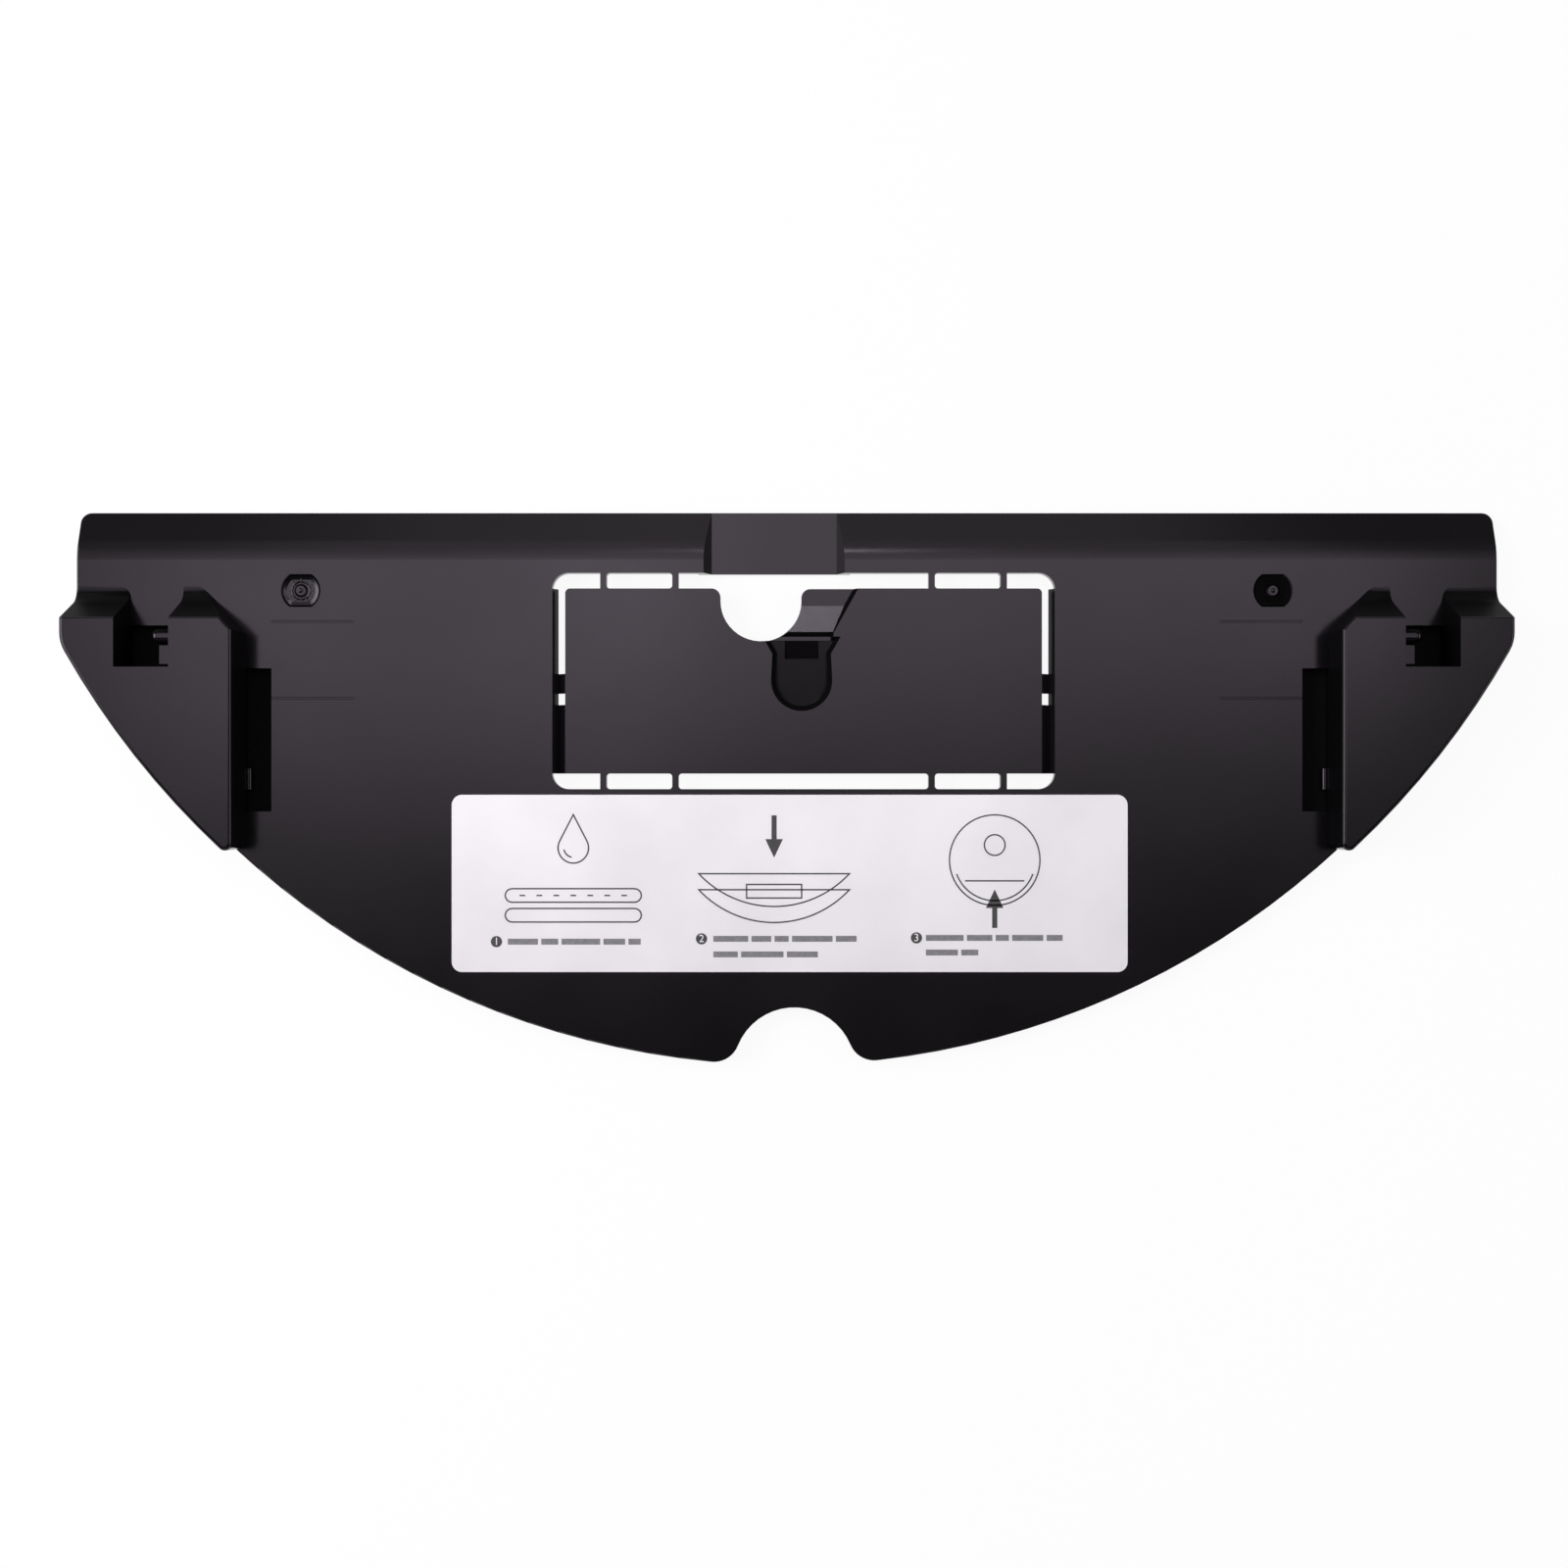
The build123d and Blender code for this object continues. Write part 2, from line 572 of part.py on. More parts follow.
    # Ramp, and the U-shaped pocket behind it, whose floor falls to the rear
    add(sills.part)
    add(peg_ramp.part, mode=Mode.SUBTRACT)
    pocket_radius = POCKET_WIDTH / 2
    floor_lean = radians(POCKET_FLOOR_ANGLE)
    pocket_z = PLATE_HEIGHT - POCKET_SINK
    pocket_floor = Plane(
        origin=(POCKET_X, ledge_y, pocket_z), x_dir=(1, 0, 0), z_dir=(0, -sin(floor_lean), cos(floor_lean))
    )
    with BuildSketch(pocket_floor):
        round_y = PANEL_FRONT_Y - POCKET_REAR_SETBACK + pocket_radius - ledge_y
        with Locations((0, round_y)):
            Circle(pocket_radius)
        span(-pocket_radius, pocket_radius, round_y, 0)
        with BuildLine():
            Polyline(
                (-pocket_radius, -POCKET_FLARE_LENGTH),
                (pocket_radius, -POCKET_FLARE_LENGTH),
                (pocket_radius + POCKET_FLARE, 0),
                (-pocket_radius - POCKET_FLARE, 0),
                close=True,
            )
        make_face()
    extrude(amount=PLATE_WALL, taper=-POCKET_DRAFT, mode=Mode.SUBTRACT)
    sump_lean = radians(POCKET_SUMP_ANGLE)
    sump_floor = Plane(
        origin=(POCKET_X, ledge_y, pocket_z - POCKET_SUMP_SINK),
        x_dir=(1, 0, 0),
        z_dir=(0, -sin(sump_lean), cos(sump_lean)),
    )
    with BuildSketch(sump_floor):
        half_sump = POCKET_SUMP_WIDTH / 2
        span(-half_sump, half_sump, -POCKET_SUMP_LENGTH, 0)
    extrude(amount=POCKET_SINK, mode=Mode.SUBTRACT)

    # Mould marks: a round stamp with a nub, and the insert's lines
    with BuildSketch(Plane.XY.offset(PLATE_HEIGHT)):
        with Locations((TOWER_INNER_X - MARK_INSET, STRAIGHT_EDGE_Y - MARK_SETBACK)):
            Circle(MARK_WIDTH / 2)
            Rectangle(MARK_WIDTH, MARK_LENGTH, mode=Mode.INTERSECT)
            Circle(MARK_NUB_RADIUS, mode=Mode.SUBTRACT)
        mirror(about=Plane.YZ)
    extrude(amount=-MARK_SINK, taper=MARK_DRAFT, mode=Mode.SUBTRACT)
    add(insert_lines.part, mode=Mode.SUBTRACT)
bracket.part.label = "bracket_body"
export_step(bracket.part, "parts/bracket_body.step")

# Foil label on the plate, behind the window
with BuildPart() as label:
    label_y = WINDOW_REAR_Y - LABEL_GAP - LABEL_LENGTH / 2
    with BuildSketch(Plane.XY.offset(PLATE_HEIGHT)):
        with Locations((LABEL_X, label_y)):
            RectangleRounded(LABEL_WIDTH, LABEL_LENGTH, LABEL_RADIUS)
    extrude(amount=LABEL_THICKNESS)
label.part.label = "instruction_label"
export_step(label.part, "parts/instruction_label.step")

# Hook pads that hold the mop cloth, stuck into the recess, one under each wing
with BuildPart() as hook_pad_right:
    with BuildSketch(Plane.XY.offset(RECESS_DEPTH)):
        add(pad_outline())
    extrude(amount=-PAD_THICKNESS)
hook_pad_right.part.label = "hook_pad_right"
export_step(hook_pad_right.part, "parts/hook_pad_right.step")

with BuildPart() as hook_pad_left:
    with BuildSketch(Plane.XY.offset(RECESS_DEPTH)):
        mirror(pad_outline(), about=Plane.YZ)
    extrude(amount=-PAD_THICKNESS)
hook_pad_left.part.label = "hook_pad_left"
export_step(hook_pad_left.part, "parts/hook_pad_left.step")
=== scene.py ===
"""Looks of a robot vacuum's mop bracket: satin moulded plastic, a printed film label and hook tape."""
import math

import bmesh
import bpy
from bpy.props import FloatProperty, FloatVectorProperty, PointerProperty
from mathutils import Matrix, Vector
from mathutils.bvhtree import BVHTree


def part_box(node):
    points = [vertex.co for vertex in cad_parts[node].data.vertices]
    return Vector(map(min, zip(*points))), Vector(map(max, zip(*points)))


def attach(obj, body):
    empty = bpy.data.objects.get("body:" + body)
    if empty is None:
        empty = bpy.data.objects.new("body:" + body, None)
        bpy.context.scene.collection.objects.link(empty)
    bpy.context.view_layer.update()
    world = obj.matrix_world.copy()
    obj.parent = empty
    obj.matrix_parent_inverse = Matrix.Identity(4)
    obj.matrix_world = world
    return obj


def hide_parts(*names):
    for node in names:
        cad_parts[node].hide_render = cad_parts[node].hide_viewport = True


bl_info = {
    "name": "Mop bracket looks",
    "version": (1, 0, 0),
    "blender": (4, 5, 0),
    "location": "View3D > Sidebar > Bracket",
    "description": "Finishes, label print, hook tape and stage for a robot vacuum's mop bracket",
    "category": "Object",
}

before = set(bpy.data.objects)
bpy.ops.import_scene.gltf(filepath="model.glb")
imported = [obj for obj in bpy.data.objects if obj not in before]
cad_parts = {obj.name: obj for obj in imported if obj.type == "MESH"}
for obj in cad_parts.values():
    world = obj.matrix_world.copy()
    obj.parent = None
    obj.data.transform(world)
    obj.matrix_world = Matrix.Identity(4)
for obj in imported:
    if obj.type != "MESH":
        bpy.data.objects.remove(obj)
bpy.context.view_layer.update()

BODY = "root"
MM = 0.001
MERGE_DISTANCE = 0.001 * MM
UP = Vector((0.0, 0.0, 1.0))
FULL_TURN = 360.0

# Places on the moulding
LABEL_LOW, LABEL_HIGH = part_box("instruction_label")
PLATE_TOP = LABEL_LOW.z
LABEL_TOP = LABEL_HIGH.z
MARK_SINK = 0.6 * MM
MARK_PLACE = Vector((103.2 * MM, 41.62 * MM, PLATE_TOP - MARK_SINK))
POCKET_LOW = Vector((-5.0 * MM, 15.0 * MM, PLATE_TOP - 2.0 * MM))
POCKET_HIGH = Vector((15.1 * MM, 42.1 * MM, PLATE_TOP))
WING_INNER_X, WING_OUTER_X = 114.9 * MM, 150.4 * MM
WING_REAR_Y, WING_FRONT_Y = -12.0 * MM, 42.2 * MM
WING_ROUND_Z = 15.1 * MM
INSERT_INNER_X, INSERT_OUTER_X = 91.9 * MM, 109.4 * MM
INSERT_LINES_Y = (35.02 * MM, 18.72 * MM)


def colour_property(name, description, default):
    """Colour that a user can pick in the sidebar."""
    return FloatVectorProperty(
        name=name, description=description, default=default, subtype="COLOR", size=3, min=0.0, max=1.0
    )


def length_property(name, description, default):
    """Length in metres that a user can set in the sidebar."""
    return FloatProperty(
        name=name, description=description, default=default, min=0.0, unit="LENGTH", precision=5
    )


def share_property(name, description, default):
    """Factor from 0 to 1 that a user can set in the sidebar."""
    return FloatProperty(
        name=name, description=description, default=default, min=0.0, max=1.0, subtype="FACTOR"
    )


def light_property(name, description, default):
    """Brightness or power that a user can set in the sidebar."""
    return FloatProperty(name=name, description=description, default=default, min=0.0)


class PlasticSettings(bpy.types.PropertyGroup):
    """Finish of the black moulding."""

    colour: colour_property("Colour", "Colour of the black plastic", (0.0018, 0.0016, 0.0019))
    pale_colour: colour_property("Pale colour", "Colour where the skin is paler", (0.0028, 0.0024, 0.0030))
    gloss_tint: colour_property("Gloss tint", "Tint of the plastic's reflections", (0.97, 0.86, 1.0))
    roughness: share_property("Roughness", "How satin the skin is", 0.18)
    refraction: FloatProperty(
        name="IOR", description="How strongly the skin reflects", default=1.36, min=1.0, max=2.0
    )
    grain_size: length_property("Grain size", "Size of the mould's spark grain", 0.45 * MM)
    cloud_size: length_property("Cloud size", "Size of the faint cloudy changes of gloss", 26 * MM)
    grain_depth: length_property("Grain depth", "Height of the mould's spark grain", 0.004 * MM)
    wave_depth: length_property("Wave depth", "Height of the moulding's slight waviness", 0.04 * MM)


class LabelSettings(bpy.types.PropertyGroup):
    """Film label and its print."""

    film_colour: colour_property("Film", "Colour of the silver-white film", (0.86, 0.83, 0.868))
    ink_colour: colour_property("Ink", "Colour of the dark print", (0.035, 0.034, 0.036))
    bar_colour: colour_property("Bars", "Colour of the grey bars of print", (0.16, 0.155, 0.165))
    line_width: length_property("Line width", "Width of the drawn lines", 0.32 * MM)
    bar_height: length_property("Bar height", "Height of the grey bars", 1.25 * MM)
    dot_radius: length_property("Dot radius", "Radius of the number dots", 1.2 * MM)
    print_height: length_property("Print height", "Thickness of the ink", 0.02 * MM)


class TapeSettings(bpy.types.PropertyGroup):
    """Hook tape under the wings."""

    colour: colour_property("Colour", "Colour of the nylon", (0.0016, 0.0016, 0.0018))
    backing: length_property("Backing", "Thickness of the woven backing", 0.45 * MM)
    hook_colour: colour_property("Hooks", "Colour of the glossier hooks", (0.006, 0.006, 0.0065))
    pitch: length_property("Pitch", "Distance between hooks", 1.4 * MM)
    thread: length_property("Thread", "Thickness of a hook", 0.18 * MM)
    reach: length_property("Reach", "How far a hook bends over", 0.45 * MM)


class StampSettings(bpy.types.PropertyGroup):
    """Mould maker's dials."""

    disc_radius: length_property("Disc radius", "Radius of the dished disc", 3.75 * MM)
    flat_reach: length_property("Flats", "Distance of the disc's flats from its centre", 3.05 * MM)
    height: length_property("Height", "Thickness of the disc at its edge", 0.26 * MM)
    slope_width: length_property("Slope width", "Width of the slope round the dish", 0.72 * MM)
    slope_depth: length_property("Slope depth", "Fall of the slope round the dish", 0.18 * MM)
    dial_radius: length_property("Dial radius", "Reach of the dial's short marks", 2.6 * MM)
    ring_radius: length_property("Ring radius", "Radius of the dial's raised ring", 1.9 * MM)
    line_width: length_property("Line width", "Width of the raised lines", 0.22 * MM)
    nub_radius: length_property("Nub radius", "Radius of the dome on the nub", 0.55 * MM)
    matte_colour: colour_property(
        "Matte colour", "Colour of the dull dial on the right", (0.0011, 0.0010, 0.0012)
    )


# Painted shade: a dull skin over the pocket's slanted walls and the wings' front and inner walls takes
# away their gloss, so that they read as dark shaded walls.
class ShadeWallSettings(bpy.types.PropertyGroup):
    """Painted shade on the walls of the panel's pocket and of the wings, laid on as a dull dark skin."""

    # Painted shade: the pocket's skin is darker than the plastic, and the wings' skin has the plastic's
    # colour but almost no gloss.
    colour: colour_property("Pocket", "Colour of the pocket's dull walls", (0.0011, 0.0010, 0.0012))
    wing_colour: colour_property("Wings", "Colour of the wings' dull walls", (0.0018, 0.0016, 0.0019))
    least_upright: share_property("Steepest wall", "Least upward lean of a dull pocket wall", 0.45)
    most_upright: share_property("Flattest wall", "Most upward lean of a dull pocket wall", 0.88)
    wing_upright: share_property("Flattest cove", "Most upward lean of a dull wing wall", 0.97)
    depth: length_property("Depth", "How far down the pocket's walls are dull", 1.0 * MM)
    foot: length_property("Foot", "How far above the plate the wings' dull walls start", 0.05 * MM)
    thickness: length_property("Thickness", "Thickness of the dull skin", 0.03 * MM)


class InsertSettings(bpy.types.PropertyGroup):
    """Plastic in the fine lines of a mould insert."""

    width: length_property("Width", "Width of the strip in a line", 0.42 * MM)
    thickness: length_property("Thickness", "Thickness of the strip", 0.1 * MM)
    sink: length_property("Sink", "Depth of the line that stays open", 0.13 * MM)


class StageSettings(bpy.types.PropertyGroup):
    """Floor, light and camera."""

    floor_colour: colour_property("Floor", "Colour of the plain floor", (0.93, 0.93, 0.93))
    white_share: share_property("White", "Share of plain white in the floor's look", 0.92)
    ceiling_turn: share_property("Ceiling turn", "How far the ceiling light's edge runs aslant", 0.08)
    camera_height: length_property("Camera height", "Camera above the plate's top", 431 * MM)
    frame_width: length_property("Frame width", "Width of the picture at the plate's top", 332.8 * MM)
    ceiling: light_property("Ceiling", "Brightness of the soft ceiling light", 5.9)
    horizon: light_property("Horizon", "Brightness of the pale walls", 0.95)
    left_power: light_property("Left lamp", "Power of the low lamp on the left", 3.6)
    right_power: light_property("Right lamp", "Power of the low lamp on the right", 2.65)
    spot_power: light_property("Small lamp", "Power of the small lamp overhead", 0.42)


def new_material(name):
    """New material, its node tree and its Principled shader."""
    material = bpy.data.materials.new(name)
    material.use_nodes = True
    tree = material.node_tree
    tree.nodes.clear()
    output = tree.nodes.new("ShaderNodeOutputMaterial")
    shader = tree.nodes.new("ShaderNodeBsdfPrincipled")
    tree.links.new(shader.outputs["BSDF"], output.inputs["Surface"])
    return material, tree, shader


def noise_value(tree, size, detail=2.0, roughness=0.5):
    """Noise on the object's own coordinates, with features of about the given size in metres."""
    place = tree.nodes.new("ShaderNodeTexCoord")
    noise = tree.nodes.new("ShaderNodeTexNoise")
    noise.inputs["Scale"].default_value = 1.0 / size
    noise.inputs["Detail"].default_value = detail
    noise.inputs["Roughness"].default_value = roughness
    tree.links.new(place.outputs["Object"], noise.inputs["Vector"])
    return noise.outputs["Fac"]


def scaled(colour, factor):
    """Colour times a factor."""
    return tuple(factor * part for part in colour)


def paint(tree, shader, source, low, high, stops=(0.3, 0.7)):
    """Colour a shader from low to high by a texture's value."""
    ramp = tree.nodes.new("ShaderNodeValToRGB")
    for element, position, colour in zip(ramp.color_ramp.elements, stops, (low, high)):
        element.position = position
        element.color = (*colour, 1.0)
    tree.links.new(source, ramp.inputs["Fac"])
    tree.links.new(ramp.outputs["Color"], shader.inputs["Base Color"])


def vary_roughness(tree, shader, source, low, high):
    """Vary a shader's roughness from low to high by a texture's value."""
    mapped = tree.nodes.new("ShaderNodeMapRange")
    mapped.inputs["To Min"].default_value = low
    mapped.inputs["To Max"].default_value = high
    tree.links.new(source, mapped.inputs["Value"])
    tree.links.new(mapped.outputs["Result"], shader.inputs["Roughness"])


def bump_node(tree, shader, source, depth, strength=1.0):
    """Bump of a texture's value on a shader or on another bump, with its height in metres."""
    bump = tree.nodes.new("ShaderNodeBump")
    bump.inputs["Strength"].default_value = strength
    bump.inputs["Distance"].default_value = depth
    tree.links.new(source, bump.inputs["Height"])
    tree.links.new(bump.outputs["Normal"], shader.inputs["Normal"])
    return bump


def math_node(tree, operation, *values):
    """Result of a Math node on sockets or plain numbers."""
    node = tree.nodes.new("ShaderNodeMath")
    node.operation = operation
    for socket, value in zip(node.inputs, values):
        if isinstance(value, bpy.types.NodeSocket):
            tree.links.new(value, socket)
        else:
            socket.default_value = value
    return node.outputs["Value"]


# Finishes: shares of gloss and tone, and sizes and depths of grain
ROUGHNESS_SPREAD = 0.04
MATTE_ROUGHNESS, MATTE_GLOSS, MATTE_PALER = 0.75, 0.04, 1.8
MATTE_GRAIN, MATTE_GRAIN_DEPTH = 0.3 * MM, 0.03 * MM
WING_ROUGHNESS = 0.5
FILM_ROUGHNESS, FILM_METAL, FILM_DARKER = 0.36, 0.3, 0.9
FILM_CLOUD, FILM_FIBRE, FILM_FIBRE_DEPTH = 24 * MM, 0.6 * MM, 0.006 * MM
INK_ROUGHNESS, INK_PALER, INK_SPECKLE = 0.5, 1.35, 0.8 * MM
NYLON_PALER = 1.6
TAPE_ROUGHNESS, TAPE_GLOSS = 0.85, 0.1
WEAVE_SCALE, WEAVE_DISTORTION, WEAVE_STOPS = 1.0 / MM, 1.5, (0.2, 0.8)
WEAVE_DEPTH, WEAVE_STRENGTH = 0.05 * MM, 0.6
HOOK_ROUGHNESS = (0.3, 0.42)


def plastic_material(settings):
    """Satin black plastic with a spark grain and faint clouds of gloss."""
    material, tree, shader = new_material("satin_black_plastic")
    clouds = noise_value(tree, settings.cloud_size, detail=3.0)
    paint(tree, shader, clouds, settings.colour, settings.pale_colour)
    smoothest = settings.roughness - ROUGHNESS_SPREAD
    vary_roughness(tree, shader, clouds, smoothest, settings.roughness + ROUGHNESS_SPREAD)
    grain = noise_value(tree, settings.grain_size, roughness=0.6)
    fine = bump_node(tree, shader, grain, settings.grain_depth)
    waves = noise_value(tree, settings.cloud_size, detail=1.0)
    bump_node(tree, fine, waves, settings.wave_depth)
    shader.inputs["IOR"].default_value = settings.refraction
    shader.inputs["Specular Tint"].default_value = (*settings.gloss_tint, 1.0)
    return material


def matte_material(name, colour, roughness=MATTE_ROUGHNESS):
    """Dull black of plastic that was left rough by the mould, also used as painted shade on the pocket's
    and the wings' walls.
    """
    material, tree, shader = new_material(name)
    grain = noise_value(tree, MATTE_GRAIN)
    paint(tree, shader, grain, colour, scaled(colour, MATTE_PALER))
    bump_node(tree, shader, grain, MATTE_GRAIN_DEPTH)
    shader.inputs["Roughness"].default_value = roughness
    shader.inputs["Specular IOR Level"].default_value = MATTE_GLOSS
    return material


def film_material(settings):
    """Silver-white film with faint clouds of tone and soft gloss."""
    material, tree, shader = new_material("label_film")
    clouds = noise_value(tree, FILM_CLOUD, detail=3.0)
    paint(tree, shader, clouds, scaled(settings.film_colour, FILM_DARKER), settings.film_colour)
    bump_node(tree, shader, noise_value(tree, FILM_FIBRE), FILM_FIBRE_DEPTH)
    shader.inputs["Roughness"].default_value = FILM_ROUGHNESS
    shader.inputs["Metallic"].default_value = FILM_METAL
    return material


def ink_material(name, colour):
    """Printed ink with slight unevenness."""
    material, tree, shader = new_material(name)
    paint(tree, shader, noise_value(tree, INK_SPECKLE), colour, scaled(colour, INK_PALER))
    shader.inputs["Roughness"].default_value = INK_ROUGHNESS
    return material


def tape_material(settings):
    """Black woven nylon with a fine weave."""
    material, tree, shader = new_material("hook_tape_nylon")
    place = tree.nodes.new("ShaderNodeTexCoord")
    wave = tree.nodes.new("ShaderNodeTexWave")
    wave.inputs["Scale"].default_value = WEAVE_SCALE
    wave.inputs["Distortion"].default_value = WEAVE_DISTORTION
    tree.links.new(place.outputs["Object"], wave.inputs["Vector"])
    weave = wave.outputs["Fac"]
    paint(tree, shader, weave, settings.colour, scaled(settings.colour, NYLON_PALER), WEAVE_STOPS)
    bump_node(tree, shader, weave, WEAVE_DEPTH, WEAVE_STRENGTH)
    shader.inputs["Roughness"].default_value = TAPE_ROUGHNESS
    shader.inputs["Specular IOR Level"].default_value = TAPE_GLOSS
    return material


def hook_material(settings):
    """Smooth nylon of the hooks, a little uneven in gloss."""
    material, tree, shader = new_material("hook_nylon")
    draw = noise_value(tree, settings.pitch, detail=1.0)
    paint(tree, shader, draw, settings.hook_colour, scaled(settings.hook_colour, NYLON_PALER))
    vary_roughness(tree, shader, draw, *HOOK_ROUGHNESS)
    return material


def dress(obj, material):
    """Give an object one material in place of those it has."""
    obj.data.materials.clear()
    obj.data.materials.append(material)


def mesh_from(bm, name):
    """Turn a bmesh into a mesh and free it."""
    mesh = bpy.data.meshes.new(name)
    bm.to_mesh(mesh)
    bm.free()
    return mesh


def absorb(bm, mesh):
    """Add a mesh's faces to a bmesh and remove the mesh."""
    bm.from_mesh(mesh)
    bpy.data.meshes.remove(mesh)


def add_object(name, data):
    """New object in the scene, at the origin."""
    obj = bpy.data.objects.new(name, data)
    bpy.context.scene.collection.objects.link(obj)
    return obj


def piece_from(bm, name, material):
    """Turn a bmesh into a piece that rides on the bracket."""
    bmesh.ops.recalc_face_normals(bm, faces=bm.faces)
    obj = add_object(name, mesh_from(bm, name))
    dress(obj, material)
    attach(obj, BODY)
    return obj


def merged_copy(node):
    """Copy of a node's mesh, with its loose triangles joined."""
    bm = bmesh.new()
    bm.from_mesh(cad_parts[node].data)
    bmesh.ops.remove_doubles(bm, verts=bm.verts, dist=MERGE_DISTANCE)
    return bm


def cut_away(bm, place, facing):
    """Cut off all that lies past a plane, on the side that it faces."""
    geom = [*bm.verts, *bm.edges, *bm.faces]
    return bmesh.ops.bisect_plane(bm, geom=geom, plane_co=place, plane_no=facing, clear_outer=True)


def only_verts(items):
    """Vertices among the items that a bmesh operator returns."""
    return [item for item in items if isinstance(item, bmesh.types.BMVert)]


def thicken(bm, height):
    """Give flat faces a small thickness upwards."""
    raised = bmesh.ops.extrude_face_region(bm, geom=bm.faces[:])["geom"]
    bmesh.ops.translate(bm, verts=only_verts(raised), vec=UP * height)


class BRACKET_OT_plastic(bpy.types.Operator):
    """Give the moulding its satin black skin"""

    bl_idname = "bracket.plastic"
    bl_label = "Black moulding"

    def execute(self, context):
        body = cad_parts["bracket_body"]
        dress(body, plastic_material(context.scene.bracket_plastic))
        return {"FINISHED"}


def disc(bm, centre, radius):
    """Flat round face about its centre."""
    place = Matrix.Translation((*centre, 0.0))
    bmesh.ops.create_circle(bm, cap_ends=True, radius=radius, segments=32, matrix=place)


def bar(bm, centre, length, width, angle=0.0):
    """Flat rectangle about its centre, turned by an angle."""
    place = Matrix.Translation((*centre, 0.0)) @ Matrix.Rotation(angle, 4, "Z")
    stretch = Matrix.Diagonal((length, width, 1.0, 1.0))
    bmesh.ops.create_grid(bm, x_segments=1, y_segments=1, size=0.5, matrix=place @ stretch)


def flat_face(bm, points):
    """Flat face through points."""
    return bm.faces.new([bm.verts.new((x, y, 0.0)) for x, y in points])


def outline(bm, points, width):
    """Line of the given width inside a closed shape."""
    face = flat_face(bm, points)
    bmesh.ops.recalc_face_normals(bm, faces=[face])
    bmesh.ops.inset_region(bm, faces=[face], thickness=width, use_boundary=True, use_even_offset=True)
    bmesh.ops.delete(bm, geom=[face], context="FACES")


def arc_points(centre, radius, start, end, steps):
    """Points along an arc between two angles in degrees, both ends among them."""
    x, y = centre
    angles = [math.radians(start + (end - start) * step / steps) for step in range(steps + 1)]
    return [(x + radius * math.cos(angle), y + radius * math.sin(angle)) for angle in angles]


def band(bm, centre, radius, width, steps, start=0.0, sweep=FULL_TURN):
    """Flat part of a ring, from a start angle over a sweep in degrees."""
    x, y = centre
    angle = math.radians(start)
    ends = [
        bm.verts.new((x + reach * math.cos(angle), y + reach * math.sin(angle), 0.0))
        for reach in (radius - width / 2, radius + width / 2)
    ]
    bmesh.ops.spin(
        bm,
        geom=[*ends, bm.edges.new(ends)],
        cent=(x, y, 0.0),
        axis=UP,
        angle=math.radians(sweep),
        steps=steps,
        use_merge=sweep == FULL_TURN,
    )


# Arrow's sizes: its shaft's width, and its head's length and half width in such widths
ARROW_WIDTH = 1.1 * MM
ARROW_HEAD_LENGTH, ARROW_HEAD_HALF = 3.6, 1.7


def arrow(bm, tail, head):
    """Flat arrow from its tail to its head."""
    start, tip = Vector(tail), Vector(head)
    along = (tip - start).normalized()
    across = Vector((-along.y, along.x)) * ARROW_WIDTH
    neck = tip - along * ARROW_HEAD_LENGTH * ARROW_WIDTH
    barb = across * ARROW_HEAD_HALF
    half = across / 2
    flat_face(bm, (start + half, neck + half, neck + barb, tip, neck - barb, neck - half, start - half))


def drop_and_cloth(bm, centre, line):
    """First drawing: a drop of water over a folded cloth."""
    x, y = centre
    drop_radius, glint_radius = 3.4 * MM, 2.0 * MM
    middle, tip = (x, y + 4.6 * MM), (x, y + 12.0 * MM)
    outline(bm, [*arc_points(middle, drop_radius, 150, 390, 20), tip], line)
    band(bm, middle, glint_radius, line, 10, start=190, sweep=70)

    half, round_radius = 13.0 * MM, 1.6 * MM
    upper, lower = y - 5.5 * MM, y - 9.7 * MM
    for level in (upper, lower):
        right_end = arc_points((x + half, level), round_radius, -90, 90, 8)
        left_end = arc_points((x - half, level), round_radius, 90, 270, 8)
        outline(bm, [*right_end, *left_end], line)
    stitch, stitch_pitch = 1.2 * MM, 3.6 * MM
    for step in range(-3, 4):
        bar(bm, (x + step * stitch_pitch, upper), stitch, line)


def plate_and_cloth(bm, centre, line):
    """Second drawing: the crescent plate laid on its cloth, with an arrow down."""
    x, y = centre
    arc_radius, arc_rise, cloth_fall = 22.0 * MM, 14.0 * MM, 3.4 * MM
    for rise in (arc_rise, arc_rise - cloth_fall):
        outline(bm, arc_points((x, y + rise), arc_radius, 222, 318, 28), line)
    half, near, far = 6.0 * MM, y - 3.0 * MM, y - 6.2 * MM
    outline(bm, [(x - half, near), (x + half, near), (x + half, far), (x - half, far)], line)
    arrow(bm, (x, y + 11.5 * MM), (x, y + 2.5 * MM))


def disc_and_arrow(bm, centre, line):
    """Third drawing: the round robot seen from above, with an arrow into it."""
    x, y = centre
    middle, turret, plate_edge = (x, y + 2.0 * MM), (x, y + 5.2 * MM), (x, y - 2.4 * MM)
    body_radius, rim_radius, turret_radius, edge_length = 9.6 * MM, 8.6 * MM, 2.2 * MM, 12.6 * MM
    band(bm, middle, body_radius, line, 56)
    band(bm, middle, rim_radius, line, 32, start=200, sweep=140)
    band(bm, turret, turret_radius, line, 28)
    bar(bm, plate_edge, edge_length, line)
    arrow(bm, (x, y - 12.4 * MM), (x, y - 4.2 * MM))


